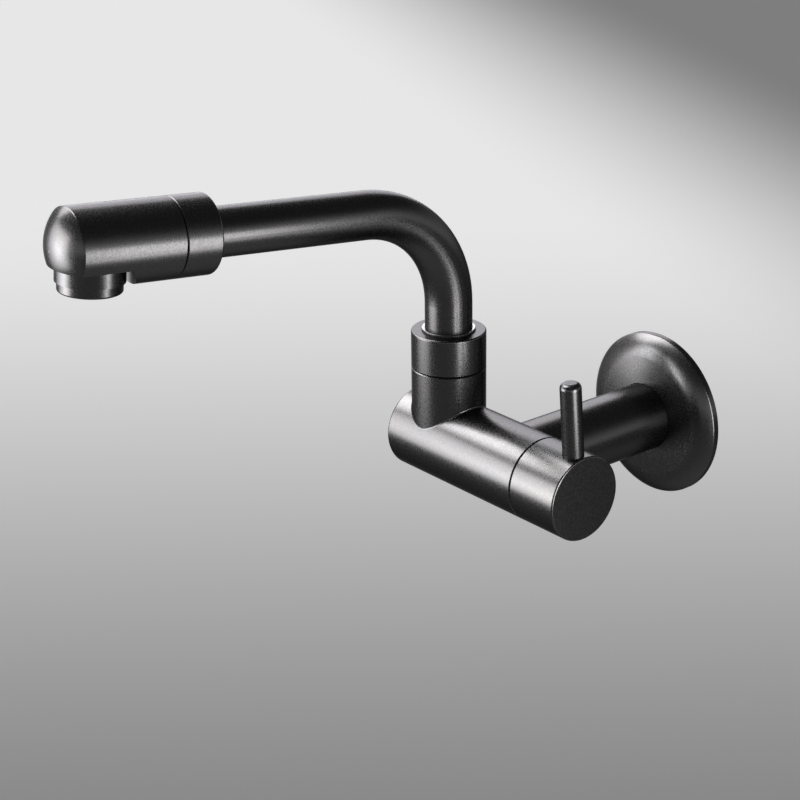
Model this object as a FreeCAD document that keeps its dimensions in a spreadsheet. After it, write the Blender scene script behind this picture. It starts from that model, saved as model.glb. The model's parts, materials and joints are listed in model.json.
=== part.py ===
import FreeCAD, Part
import math
import os
import Sketcher

# Wall tap for a kitchen: a horizontal valve barrel on a short wall pipe, a turning end handle with a lever
# pin, and a bent spout that swivels on the barrel and ends in a nozzle with an aerator.
# Millimetres and degrees. Origin: centre of the wall flange in the plane of the wall. -Y points into the
# room, +X along the barrel to the handle, +Z up.

# Driving sizes
SIZES = {
    # wall flange
    "flange_radius": 28.6,
    "flange_edge": 2.0,
    "flange_edge_round": 0.8,
    "flange_roll_radius": 12.0,
    "flange_roll_slope": 49.0,
    "flange_dome_radius": 165.0,
    "flange_shell": 1.6,
    "flange_hub_wall": 3.6,
    "flange_hub_back": 1.5,
    "flange_pipe_gap": 0.15,
    "gasket_width": 4.0,
    "grip_wire": 0.9,
    "grip_level": 3.6,
    # wall pipe
    "wall_to_bar": 69.9,
    "pipe_radius": 11.7,
    "pipe_bore": 5.6,
    "inlet_thread_radius": 10.48,
    "inlet_thread_length": 14.0,
    "inlet_shoulder_depth": 1.5,
    "inlet_chamfer": 1.0,
    "key_flats": 12.4,
    "key_depth": 9.0,
    "spigot_radius": 7.95,
    "spigot_gap": 0.6,
    # valve barrel, along it from the inlet axis unless it says otherwise
    "bar_radius": 14.3,
    "bar_left": 15.9,
    "bar_edge_round": 0.8,
    "stem_offset": 30.2,
    "stem_foot_round": 0.6,
    "seam_offset": 16.0,
    "handle_seam_gap": 0.4,
    "seam_chamfer": 0.25,
    "chamber_radius": 10.0,
    "seat_offset": 9.0,
    "nut_seat_offset": 9.6,
    "mouth_radius": 11.2,
    "outlet_radius": 6.0,
    "passage_radius": 5.5,
    # collar round the foot of the spout, heights above the barrel's axis
    "collar_seam": 26.3,
    "collar_top": 39.3,
    "collar_edge_round": 0.6,
    "collar_seam_gap": 0.3,
    "collar_lip": 2.6,
    "bush_wall": 1.02,
    "bush_rise": 0.8,
    "bush_edge_round": 0.3,
    # swivel fitting at both ends of the spout: plug round the tube, spigot round that, nut outermost
    "swivel_fit": 0.05,
    "plug_wall": 1.2,
    "nut_wall": 1.75,
    "stem_plug_length": 20.0,
    "nozzle_plug_length": 12.0,
    "plug_end_gap": 0.8,
    "spigot_wall": 1.6,
    "shoulder_gap": 0.4,
    "shoulder_thick": 2.0,
    "socket_depth": 4.0,
    "washer_thick": 0.6,
    "washer_gap": 0.1,
    "washer_bore_gap": 0.1,
    "seal_wire": 0.75,
    "seal_first": 3.0,
    "seal_pitch": 3.6,
    # spout tube
    "tube_radius": 7.95,
    "tube_wall": 1.2,
    "tube_fit": 0.08,
    "bend_radius": 36.0,
    "bend_start": 49.1,
    "run_rise": 5.1,
    "spout_rest_angle": 4.9,
    # nozzle, along the run from the end of the bend, and levels below the run's axis
    "nozzle_start": 58.2,
    "nozzle_ring_length": 12.4,
    "nozzle_length": 33.6,
    "dome_height": 5.4,
    "dome_edge_round": 0.5,
    "aerator_offset": 25.6,
    "spotface_radius": 16.2,
    "spotface_lead": 3.2,
    "spotface_level": 5.6,
    "boss_radius": 10.65,
    "boss_drop": 10.4,
    "aerator_seat": 4.6,
    "aerator_chamber": 7.6,
    "aerator_ceiling": 2.0,
    "aerator_radius": 9.9,
    "aerator_drop": 13.6,
    "aerator_edge_round": 0.7,
    "aerator_thread": 9.0,
    "aerator_wall": 1.4,
    "aerator_lip": 0.7,
    "aerator_lip_height": 0.9,
    "screen_thick": 0.5,
    "screen_pitch": 1.5,
    "screen_hole": 0.5,
    "insert_length": 4.6,
    "jet_pitch": 2.6,
    "jet_radius": 0.9,
    "seat_gasket_thick": 0.9,
    # clearance between fixed pieces, and spare room each side of a seal in its groove
    "trim_gap": 0.05,
    "groove_room": 0.2,
    # handle and lever, along the barrel from the inlet axis
    "handle_end": 36.0,
    "handle_wall": 2.4,
    "handle_cup": 7.8,
    "handle_hub": 7.0,
    "handle_hub_reach": 4.0,
    "handle_edge_round": 0.6,
    "lever_offset": 31.6,
    "lever_radius": 3.5,
    "lever_top": 39.4,
    "lever_round": 1.9,
    "lever_stud_radius": 2.5,
    "lever_stud_length": 6.5,
    "lever_hole_spare": 0.8,
    "lever_rest_angle": 4.3,
    "grub_radius": 2.0,
    "grub_sink": 3.05,
    "grub_point": 0.8,
    "grub_key": 2.0,
    "grub_key_depth": 2.2,
    "grub_offset": 26.0,
    # cartridge, along the barrel from the inlet axis towards the handle
    "housing_gap": 0.1,
    "housing_nose": 0.6,
    "housing_wall": 1.2,
    "housing_roof": 3.6,
    "housing_seal_place": 1.7,
    "housing_seal_wire": 0.65,
    "neck_radius": 6.3,
    "neck_end": 18.8,
    "window_height": 9.0,
    "window_width": 3.2,
    "disc_thick": 3.0,
    "disc_gap": 0.05,
    "port_outer": 6.9,
    "port_inner": 2.6,
    "port_angle": 74.0,
    "seat_seal_thick": 2.0,
    "seat_seal_inner": 7.1,
    "foot_radius": 8.3,
    "foot_gap": 0.3,
    "foot_channel": 3.6,
    "spindle_radius": 4.5,
    "spindle_fit": 0.05,
    "spindle_end": 28.6,
    "spindle_end_gap": 0.3,
    "spindle_head_radius": 4.0,
    "spindle_flat": 3.2,
    "spindle_seal_wire": 0.7,
    "spindle_seal_first": 9.5,
    "spindle_seal_pitch": 3.2,
    "clip_thick": 0.8,
    "clip_radius": 5.9,
    "clip_groove": 0.7,
    "clip_mouth": 5.0,
    "nut_end": 18.4,
    "nut_bore_gap": 0.2,
    "nut_key_width": 2.4,
    "nut_key_depth": 1.6,
    "guide_thick": 0.6,
    "guide_length": 2.0,
    "guide_fit": 0.06,
}

# Sizes that follow from the driving ones, as spreadsheet formulas
DERIVED = {
    # the flange's face is a wide dome that rolls over to the edge in an arc tangent to it
    "flange_mouth": "pipe_radius + flange_pipe_gap",
    "roll_centre": "flange_radius - flange_roll_radius * sin(flange_roll_slope)",
    "roll_level": "flange_edge - flange_roll_radius * cos(flange_roll_slope)",
    "dome_to_roll": "flange_dome_radius - flange_roll_radius",
    "dome_sink": "sqrt(dome_to_roll^2 - roll_centre^2) - roll_level",
    "flange_crown": "sqrt(flange_dome_radius^2 - flange_mouth^2) - dome_sink",
    "flange_shoulder": "roll_centre * flange_dome_radius / dome_to_roll",
    "shoulder_level": "sqrt(flange_dome_radius^2 - flange_shoulder^2) - dome_sink",
    "inner_dome_radius": "flange_dome_radius - flange_shell",
    "inner_roll_radius": "flange_roll_radius - flange_shell",
    "inner_shoulder": "roll_centre * inner_dome_radius / dome_to_roll",
    "inner_shoulder_level": "sqrt(inner_dome_radius^2 - inner_shoulder^2) - dome_sink",
    "flange_bore": "flange_radius - flange_shell",
    "flange_bore_depth": "roll_level + sqrt(inner_roll_radius^2 - (flange_bore - roll_centre)^2)",
    "flange_hub": "flange_mouth + flange_hub_wall",
    "flange_hub_depth": "sqrt(inner_dome_radius^2 - flange_hub^2) - dome_sink",
    "grip_circle": "pipe_radius + grip_wire + trim_gap",
    "grip_groove": "grip_circle + grip_wire + trim_gap",
    "grip_half": "grip_wire + groove_room",
    # wall pipe
    "pipe_end": "inlet_thread_length - inlet_shoulder_depth",
    "spigot_end": "wall_to_bar - chamber_radius - spigot_gap",
    "port_radius": "spigot_radius + trim_gap",
    # valve barrel, in its own frame with the stem axis at zero
    "bar_end": "stem_offset + seam_offset - handle_seam_gap / 2",
    "mouth_end": "stem_offset + nut_seat_offset",
    "seat_place": "stem_offset - seat_offset",
    # swivel fitting
    "plug_radius": "tube_radius + plug_wall",
    "stem_bore": "plug_radius + swivel_fit",
    "fitting_spigot": "stem_bore + spigot_wall",
    "nut_bore": "fitting_spigot + trim_gap",
    "collar_radius": "nut_bore + nut_wall",
    "nozzle_radius": "nut_bore + nut_wall",
    "shoulder_radius": "nut_bore - shoulder_gap",
    "washer_stack": "2 * washer_thick + shoulder_thick + 2 * washer_gap",
    "washer_to_shoulder": "washer_thick + washer_gap",
    "washer_outer": "nut_bore - trim_gap",
    "tube_running_bore": "tube_radius + tube_fit",
    "bush_radius": "tube_running_bore + bush_wall + trim_gap",
    "seal_circle": "stem_bore - swivel_fit / 2 - seal_wire",
    "seal_groove": "seal_circle - seal_wire - trim_gap",
    "seal_half": "seal_wire + groove_room",
    "collar_ceiling": "collar_top - collar_lip",
    "spigot_top": "collar_ceiling - washer_stack",
    "stem_shoulder": "spigot_top + washer_to_shoulder + shoulder_thick",
    "stem_floor": "stem_shoulder - shoulder_thick - stem_plug_length - plug_end_gap",
    # spout tube
    "tube_bore": "tube_radius - tube_wall",
    "tube_start": "stem_shoulder - socket_depth",
    "bend_turn": "90 - run_rise",
    "bend_reach": "bend_radius * (1 - cos(bend_turn))",
    "bend_top": "bend_start + bend_radius * sin(bend_turn)",
    # nozzle
    "nozzle_seam": "nozzle_start + nozzle_ring_length",
    "ring_ceiling": "nozzle_start + collar_lip",
    "nozzle_spigot_start": "ring_ceiling + washer_stack",
    "nozzle_shoulder": "ring_ceiling + washer_to_shoulder",
    "nozzle_socket_end": "nozzle_shoulder + shoulder_thick + nozzle_plug_length + plug_end_gap",
    "run_end": "nozzle_shoulder + socket_depth",
    "nozzle_crease": "nozzle_seam + nozzle_length",
    "nozzle_tip": "nozzle_crease + dome_height",
    "nose_radius": "(nozzle_radius^2 + dome_height^2) / (2 * dome_height)",
    "aerator_place": "nozzle_seam + aerator_offset",
    "aerator_bore": "aerator_thread - aerator_wall",
    "aerator_mouth": "aerator_bore - aerator_lip",
    "aerator_top": "aerator_seat + seat_gasket_thick",
    "screen_level": "aerator_drop - aerator_lip_height",
    "insert_level": "screen_level - screen_thick",
    # cartridge
    "housing_radius": "chamber_radius - housing_gap",
    "housing_bore": "housing_radius - housing_wall",
    "housing_room": "nut_seat_offset - housing_roof",
    "housing_seal_level": "nut_seat_offset - housing_seal_place",
    "housing_seal_circle": "chamber_radius - housing_seal_wire - trim_gap / 2",
    "housing_seal_groove": "housing_seal_circle - housing_seal_wire - trim_gap",
    "disc_start": "seat_seal_thick - seat_offset",
    "turning_start": "disc_start + disc_thick + disc_gap",
    "foot_start": "turning_start + disc_thick",
    "foot_end": "housing_room - foot_gap",
    "neck_bore": "spindle_radius + spindle_fit",
    "clip_start": "neck_end + washer_gap",
    "clip_root": "spindle_radius - clip_groove",
    "spindle_seal_circle": "neck_bore - spindle_fit / 2 - spindle_seal_wire",
    "spindle_seal_groove": "spindle_seal_circle - spindle_seal_wire - trim_gap",
    "spindle_step": "clip_start + clip_thick + 2 * trim_gap",
    # handle
    "handle_start": "seam_offset + handle_seam_gap / 2",
    "handle_bore": "bar_radius - handle_wall",
    "cup_end": "handle_start + handle_cup",
    "hub_start": "cup_end - handle_hub_reach",
    "socket_radius": "spindle_head_radius + trim_gap",
    "socket_flat": "spindle_flat + trim_gap",
    "guide_outer": "handle_bore - guide_fit",
    "guide_inner": "guide_outer - guide_thick",
    "lever_seat": "sqrt(bar_radius^2 - lever_radius^2) - trim_gap",
    "grub_tip": "spindle_flat + trim_gap",
    "grub_tail": "bar_radius - grub_sink",
}

# Least change of volume that counts as a cut, and how near an edge's radius and level must match
LEAST_CHANGE = 1e-6
EDGE_MATCH = 1e-4

ALONG_X = FreeCAD.Vector(1, 0, 0)
ALONG_Y = FreeCAD.Vector(0, 1, 0)
ALONG_Z = FreeCAD.Vector(0, 0, 1)

# Rotations that turn a piece's own Z to X, to +Y and to -Y
Z_TO_X = FreeCAD.Rotation(ALONG_Y, 90)
Z_TO_PLUS_Y = FreeCAD.Rotation(ALONG_X, -90)
Z_TO_MINUS_Y = FreeCAD.Rotation(ALONG_X, 90)

doc = FreeCAD.newDocument("wall_tap")
sheet = doc.addObject("Spreadsheet::Sheet", "dim")

# Finished sub-parts, in the order in which they are made
pieces = []


def fill_sheet():
    """Name, value and alias of every size, the driving ones as plain numbers."""
    cells = [(name, str(value)) for name, value in SIZES.items()]
    cells += [(name, f"={formula}") for name, formula in DERIVED.items()]
    for row, (name, content) in enumerate(cells, start=1):
        sheet.set(f"A{row}", name)
        sheet.set(f"B{row}", content)
        sheet.setAlias(f"B{row}", name)
    doc.recompute()


def worth(expression):
    """Number that an expression of the sheet's cells gives."""
    return float(sheet.evalExpression(expression))


def at(across, along, up, rotation=FreeCAD.Rotation()):
    """Placement at a point given by three expressions."""
    return FreeCAD.Placement(FreeCAD.Vector(worth(across), worth(along), worth(up)), rotation)


def stem_axis_frame():
    """Frame of the stem: where the stem's axis meets the barrel's."""
    return at("-dim.stem_offset", "-dim.wall_to_bar", "0")


def spout_frame():
    """Frame of the spout: the stem's, swivelled as the spout rests."""
    swivel = FreeCAD.Rotation(ALONG_Z, -worth("dim.spout_rest_angle"))
    return stem_axis_frame().multiply(at("0", "0", "0", swivel))


def run_frame():
    """Frame of the spout's run: at the end of the bend, with -Y along the run and Z square to it."""
    tilt = FreeCAD.Rotation(ALONG_X, -worth("dim.run_rise"))
    return spout_frame().multiply(at("0", "-dim.bend_reach", "dim.bend_top", tilt))


def aerator_frame():
    """Frame of the aerator: where its axis crosses the run's, with Z up along it."""
    return run_frame().multiply(at("0", "-dim.aerator_place", "0"))


def bar_frame():
    """Frame of the cartridge: where the inlet's axis meets the barrel's."""
    return at("0", "-dim.wall_to_bar", "0")


def handle_frame():
    """Frame of the handle: the cartridge's, turned as the handle rests."""
    turn = FreeCAD.Rotation(ALONG_X, worth("dim.lever_rest_angle"))
    return bar_frame().multiply(at("0", "0", "0", turn))


def new_body(label, frame):
    body = doc.addObject("PartDesign::Body", label)
    body.Label = label
    body.Placement = frame
    pieces.append(body)
    return body


def new_sketch(body, plane, offset=None):
    """Sketch on one of the body's own origin planes, raised along its normal by an expression."""
    sketch = body.newObject("Sketcher::SketchObject", f"{body.Label}_sketch")
    support = next(item for item in body.Origin.OriginFeatures if item.Role == plane)
    sketch.AttachmentSupport = (support, [""])
    sketch.MapMode = "FlatFace"
    sketch.Visibility = False
    if offset:
        sketch.setExpression("AttachmentOffset.Base.z", offset)
    return sketch


def bind(sketch, constraint, expression):
    """Add a constraint whose value is an expression of the sheet's cells."""
    number = sketch.addConstraint(constraint)
    sketch.setExpression(f"Constraints[{number}]", expression)


def pin_point(sketch, geometry, end, across, up):
    """Hold a point at two distances from the sketch's origin."""
    bind(sketch, Sketcher.Constraint("DistanceX", -1, 1, geometry, end, worth(across)), across)
    bind(sketch, Sketcher.Constraint("DistanceY", -1, 1, geometry, end, worth(up)), up)


def short_arc(start, finish, radius, side):
    """Arc under a half circle that bulges to the right or the left of the way from start to finish."""
    chord = finish - start
    right = FreeCAD.Vector(chord.y, -chord.x, 0).normalize()
    reach = math.sqrt(radius**2 - (chord.Length / 2) ** 2)
    centre = (start + finish) / 2 - right * (reach if side == "right" else -reach)
    first, last = (start, finish) if side == "right" else (finish, start)
    angles = [math.atan2(point.y - centre.y, point.x - centre.x) for point in (first, last)]
    if angles[1] < angles[0]:
        angles[1] += 2 * math.pi
    return Part.ArcOfCircle(Part.Circle(centre, ALONG_Z, radius), *angles)


def outline(sketch, corners, closed=True):
    """Outline through corners (across, up); an arc that arrives at one is given as radius and side."""
    points = [FreeCAD.Vector(worth(corner[0]), worth(corner[1]), 0) for corner in corners]
    count = len(corners)
    first = sketch.GeometryCount
    ends = []
    for index in range(count if closed else count - 1):
        start = points[index]
        finish = points[(index + 1) % count]
        arrival = corners[(index + 1) % count]
        if len(arrival) == 2:
            sketch.addGeometry(Part.LineSegment(start, finish))
            ends.append((1, 2))
            continue
        radius, side = arrival[2:]
        number = sketch.addGeometry(short_arc(start, finish, worth(radius), side))
        ends.append((1, 2) if side == "right" else (2, 1))
        bind(sketch, Sketcher.Constraint("Radius", number, worth(radius)), radius)
    for index, (start_end, finish_end) in enumerate(ends):
        pin_point(sketch, first + index, start_end, *corners[index][:2])
        following = (index + 1) % len(ends)
        if closed or following:
            joint = (first + index, finish_end, first + following, ends[following][0])
            sketch.addConstraint(Sketcher.Constraint("Coincident", *joint))
    if not closed:
        pin_point(sketch, first + len(ends) - 1, ends[-1][1], *corners[-1][:2])
    return sketch


def circles(sketch, across, up, *radii):
    """Circles round one centre, each radius an expression."""
    centre = FreeCAD.Vector(worth(across), worth(up), 0)
    for radius in radii:
        number = sketch.addGeometry(Part.Circle(centre, ALONG_Z, worth(radius)))
        bind(sketch, Sketcher.Constraint("Radius", number, worth(radius)), radius)
        pin_point(sketch, number, 3, across, up)
    return sketch


def rectangle(sketch, left, right, low, high):
    return outline(sketch, [(left, low), (right, low), (right, high), (left, high)])


def hexagon(sketch, flats):
    """Hexagon round the sketch's origin, given by its width across flats."""
    reach = f"{flats} / sqrt(3)"
    corners = [(f"{reach} * cos({angle})", f"{reach} * sin({angle})") for angle in range(0, 360, 60)]
    return outline(sketch, corners)


def sector(sketch, inner, outer, middle, angle):
    """Piece of a ring round the sketch's origin, centred on an angle."""
    low = f"{middle} - {angle} / 2"
    high = f"{middle} + {angle} / 2"
    return outline(sketch, [
        (f"{inner} * cos({low})", f"{inner} * sin({low})", inner, "left"),
        (f"{outer} * cos({low})", f"{outer} * sin({low})"),
        (f"{outer} * cos({high})", f"{outer} * sin({high})", outer, "right"),
        (f"{inner} * cos({high})", f"{inner} * sin({high})"),
    ])


def finish_step(feature, cuts):
    """Recompute a modelling step, and stop if it left the body as it was."""
    base = feature.BaseFeature
    before = base.Shape.Volume if base else 0.0
    doc.recompute()
    change = feature.Shape.Volume - before
    if (change > -LEAST_CHANGE) if cuts else (change < LEAST_CHANGE):
        raise ValueError(f"{feature.Label} changes nothing")
    return feature


def turned(body, plane, axis, corners, cuts=False):
    """Lathe step: an outline turned round its sketch's H_Axis or V_Axis, added or cut away."""
    sketch = outline(new_sketch(body, plane), corners)
    kind = "Groove" if cuts else "Revolution"
    feature = body.newObject(f"PartDesign::{kind}", f"{body.Label}_{kind.lower()}")
    feature.Profile = sketch
    feature.ReferenceAxis = (sketch, [axis])
    feature.Angle = 360
    return finish_step(feature, cuts)


def raised(body, sketch, length):
    """Pad a sketch along its normal."""
    pad = body.newObject("PartDesign::Pad", f"{body.Label}_pad")
    pad.Profile = sketch
    pad.setExpression("Length", length)
    return finish_step(pad, False)


def bored(body, sketch, length, way="down"):
    """Cut a sketch away: down is against its normal, up along it, through twice the length each way."""
    pocket = body.newObject("PartDesign::Pocket", f"{body.Label}_pocket")
    pocket.Profile = sketch
    pocket.Midplane = way == "through"
    pocket.Reversed = way == "up"
    pocket.setExpression("Length", f"4 * {length}" if way == "through" else length)
    return finish_step(pocket, True)


def soften(body, kind, radius, axis, level, size):
    """Fillet or chamfer the round edge of one radius that lies at one level along an axis."""
    base = body.Tip
    names = [
        f"Edge{number}"
        for number, edge in enumerate(base.Shape.Edges, start=1)
        if not edge.Degenerated
        and isinstance(edge.Curve, Part.Circle)
        and abs(edge.Curve.Radius - worth(radius)) < EDGE_MATCH
        and abs(edge.Curve.Center.dot(axis) - worth(level)) < EDGE_MATCH
    ]
    feature = body.newObject(f"PartDesign::{kind}", f"{body.Label}_{kind.lower()}")
    feature.Base = (base, names)
    feature.setExpression("Radius" if kind == "Fillet" else "Size", size)
    return finish_step(feature, True)


def round_foot(body, first, second, size):
    """Fillet in the corner where two outer cylinders, given by their radii, meet."""
    base = body.Tip
    wanted = sorted((worth(first), worth(second)))
    names = []
    for number, edge in enumerate(base.Shape.Edges, start=1):
        faces = base.Shape.ancestorsOfType(edge, Part.Face)
        radii = sorted(face.Surface.Radius for face in faces if isinstance(face.Surface, Part.Cylinder))
        if len(radii) == 2 and all(abs(have - want) < EDGE_MATCH for have, want in zip(radii, wanted)):
            names.append(f"Edge{number}")
    feature = body.newObject("PartDesign::Fillet", f"{body.Label}_foot")
    feature.Base = (base, names)
    feature.setExpression("Radius", size)
    return finish_step(feature, False)


def grouped(label, frame, parts):
    """Solids of one kind as one piece."""
    group = doc.addObject("Part::Compound", label)
    group.Label = label
    group.Links = parts
    group.Placement = frame
    pieces.append(group)
    return group


def seal_rings(label, frame, circle, wire, levels):
    """Round rubber rings of one size on the frame's Z, at their levels."""
    rings = []
    for number, level in enumerate(levels, start=1):
        ring = doc.addObject("Part::Torus", f"{label}_{number}")
        ring.setExpression("Radius1", circle)
        ring.setExpression("Radius2", wire)
        ring.setExpression("Placement.Base.z", level)
        rings.append(ring)
    return grouped(label, frame, rings)


def flat_ring(name, inner, outer, start, length):
    """Plain ring on Z, cut from two cylinders."""
    tools = []
    for part, radius in (("disc", outer), ("hole", inner)):
        tool = doc.addObject("Part::Cylinder", f"{name}_{part}")
        tool.setExpression("Radius", radius)
        tool.setExpression("Height", length)
        tool.setExpression("Placement.Base.z", start)
        tools.append(tool)
    ring = doc.addObject("Part::Cut", name)
    ring.Base, ring.Tool = tools
    return ring


def single_ring(label, frame, inner, outer, start, length):
    """A flat ring as a piece of its own."""
    ring = flat_ring(label, inner, outer, start, length)
    ring.Label = label
    ring.Placement = frame
    pieces.append(ring)
    return ring


def make_wall_flange():
    """Domed cover plate against the wall: a hollow shell whose hub slides on the pipe."""
    body = new_body("wall_flange", at("0", "0", "0"))
    turned(body, "XY_Plane", "V_Axis", [
        ("dim.flange_mouth", "-dim.flange_crown", "dim.flange_dome_radius", "left"),
        ("dim.flange_mouth", "-dim.grip_level - dim.grip_half"),
        ("dim.grip_groove", "-dim.grip_level - dim.grip_half"),
        ("dim.grip_groove", "-dim.grip_level + dim.grip_half"),
        ("dim.flange_mouth", "-dim.grip_level + dim.grip_half"),
        ("dim.flange_mouth", "-dim.flange_hub_back"),
        ("dim.flange_hub", "-dim.flange_hub_back"),
        ("dim.flange_hub", "-dim.flange_hub_depth"),
        ("dim.inner_shoulder", "-dim.inner_shoulder_level", "dim.inner_dome_radius", "right"),
        ("dim.flange_bore", "-dim.flange_bore_depth", "dim.inner_roll_radius", "right"),
        ("dim.flange_bore", "0"),
        ("dim.flange_radius", "0"),
        ("dim.flange_radius", "-dim.flange_edge"),
        ("dim.flange_shoulder", "-dim.shoulder_level", "dim.flange_roll_radius", "left"),
    ])
    soften(body, "Fillet", "dim.flange_radius", ALONG_Y, "-dim.flange_edge", "dim.flange_edge_round")


def make_flange_seals():
    """Foam gasket inside the flange's rim, and the rubber ring by which the hub grips the pipe."""
    frame = at("0", "0", "0", Z_TO_MINUS_Y)
    inner = "dim.flange_bore - dim.gasket_width"
    single_ring("flange_gasket", frame, inner, "dim.flange_bore - dim.trim_gap", "0",
                "dim.flange_bore_depth")
    seal_rings("flange_grip_ring", frame, "dim.grip_circle", "dim.grip_wire", ["dim.grip_level"])


def make_inlet_pipe():
    """Wall pipe: threaded behind the wall, a hexagon socket in its mouth, and coped onto the barrel."""
    body = new_body("inlet_pipe", at("0", "0", "0"))
    turned(body, "XY_Plane", "V_Axis", [
        ("0", "dim.bar_radius / 2 - dim.wall_to_bar"),
        ("dim.pipe_radius", "dim.bar_radius / 2 - dim.wall_to_bar"),
        ("dim.pipe_radius", "-dim.inlet_shoulder_depth"),
        ("dim.inlet_thread_radius", "-dim.inlet_shoulder_depth"),
        ("dim.inlet_thread_radius", "dim.pipe_end - dim.inlet_chamfer"),
        ("dim.inlet_thread_radius - dim.inlet_chamfer", "dim.pipe_end"),
        ("0", "dim.pipe_end"),
    ])
    cope = circles(new_sketch(body, "YZ_Plane"), "-dim.wall_to_bar", "0", "dim.bar_radius")
    bored(body, cope, "dim.pipe_radius", "through")
    turned(body, "XY_Plane", "V_Axis", [
        ("0", "-dim.spigot_end"),
        ("dim.spigot_radius", "-dim.spigot_end"),
        ("dim.spigot_radius", "dim.bar_radius - dim.wall_to_bar"),
        ("0", "dim.bar_radius - dim.wall_to_bar"),
    ])
    turned(body, "XY_Plane", "V_Axis", [
        ("0", "-dim.spigot_end"),
        ("dim.pipe_bore", "-dim.spigot_end"),
        ("dim.pipe_bore", "dim.pipe_end"),
        ("0", "dim.pipe_end"),
    ], cuts=True)
    key = hexagon(new_sketch(body, "XZ_Plane", "-dim.pipe_end"), "dim.key_flats")
    bored(body, key, "dim.key_depth", "up")


def make_valve_body():
    """Barrel turned from bar, with the spout's stem; bored for the cartridge, inlet and outlet."""
    body = new_body("valve_body", stem_axis_frame())
    turned(body, "XY_Plane", "H_Axis", [
        ("-dim.bar_left", "0"),
        ("dim.bar_end", "0"),
        ("dim.bar_end", "dim.bar_radius"),
        ("-dim.bar_left", "dim.bar_radius"),
    ])
    soften(body, "Fillet", "dim.bar_radius", ALONG_X, "-dim.bar_left", "dim.bar_edge_round")
    soften(body, "Chamfer", "dim.bar_radius", ALONG_X, "dim.bar_end", "dim.seam_chamfer")
    turned(body, "XZ_Plane", "V_Axis", [
        ("0", "0"),
        ("dim.collar_radius", "0"),
        ("dim.collar_radius", "dim.collar_seam"),
        ("dim.fitting_spigot", "dim.collar_seam"),
        ("dim.fitting_spigot", "dim.spigot_top"),
        ("0", "dim.spigot_top"),
    ])
    soften(body, "Chamfer", "dim.collar_radius", ALONG_Z, "dim.collar_seam", "dim.seam_chamfer")
    round_foot(body, "dim.collar_radius", "dim.bar_radius", "dim.stem_foot_round")
    turned(body, "XY_Plane", "H_Axis", [
        ("-dim.outlet_radius", "0"),
        ("dim.bar_end", "0"),
        ("dim.bar_end", "dim.mouth_radius"),
        ("dim.mouth_end", "dim.mouth_radius"),
        ("dim.mouth_end", "dim.chamber_radius"),
        ("dim.seat_place", "dim.chamber_radius"),
        ("dim.seat_place", "dim.outlet_radius"),
        ("-dim.outlet_radius", "dim.outlet_radius"),
    ], cuts=True)
    turned(body, "XZ_Plane", "V_Axis", [
        ("0", "0"),
        ("dim.passage_radius", "0"),
        ("dim.passage_radius", "dim.stem_floor"),
        ("dim.stem_bore", "dim.stem_floor"),
        ("dim.stem_bore", "dim.spigot_top"),
        ("0", "dim.spigot_top"),
    ], cuts=True)
    port = circles(new_sketch(body, "XZ_Plane"), "dim.stem_offset", "0", "dim.port_radius")
    bored(body, port, "2 * dim.bar_radius")


def make_collar():
    """Nut that holds the spout down on the stem, with the bearing bush in its lip round the tube."""
    nut = new_body("collar_nut", stem_axis_frame())
    turned(nut, "XZ_Plane", "V_Axis", [
        ("dim.nut_bore", "dim.collar_seam + dim.collar_seam_gap"),
        ("dim.collar_radius", "dim.collar_seam + dim.collar_seam_gap"),
        ("dim.collar_radius", "dim.collar_top"),
        ("dim.bush_radius", "dim.collar_top"),
        ("dim.bush_radius", "dim.collar_ceiling"),
        ("dim.nut_bore", "dim.collar_ceiling"),
    ])
    soften(nut, "Fillet", "dim.collar_radius", ALONG_Z, "dim.collar_top", "dim.collar_edge_round")
    soften(nut, "Chamfer", "dim.collar_radius", ALONG_Z, "dim.collar_seam + dim.collar_seam_gap",
           "dim.seam_chamfer")
    bush = new_body("collar_bush", stem_axis_frame())
    turned(bush, "XZ_Plane", "V_Axis", [
        ("dim.tube_running_bore", "dim.collar_ceiling"),
        ("dim.bush_radius - dim.trim_gap", "dim.collar_ceiling"),
        ("dim.bush_radius - dim.trim_gap", "dim.collar_top + dim.bush_rise"),
        ("dim.tube_running_bore", "dim.collar_top + dim.bush_rise"),
    ])
    soften(bush, "Fillet", "dim.bush_radius - dim.trim_gap", ALONG_Z, "dim.collar_top + dim.bush_rise",
           "dim.bush_edge_round")


def make_washers(label, frame, round_plug, round_tube):
    """Two nylon washers that a nipple's shoulder turns between: one round its plug, one round the tube."""
    plug_washer = flat_ring(f"{label}_plug_side", "dim.stem_bore + dim.washer_bore_gap", "dim.washer_outer",
                            round_plug, "dim.washer_thick")
    tube_washer = flat_ring(f"{label}_tube_side", "dim.tube_running_bore + dim.washer_bore_gap",
                            "dim.washer_outer", round_tube, "dim.washer_thick")
    grouped(label, frame, [plug_washer, tube_washer])


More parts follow.
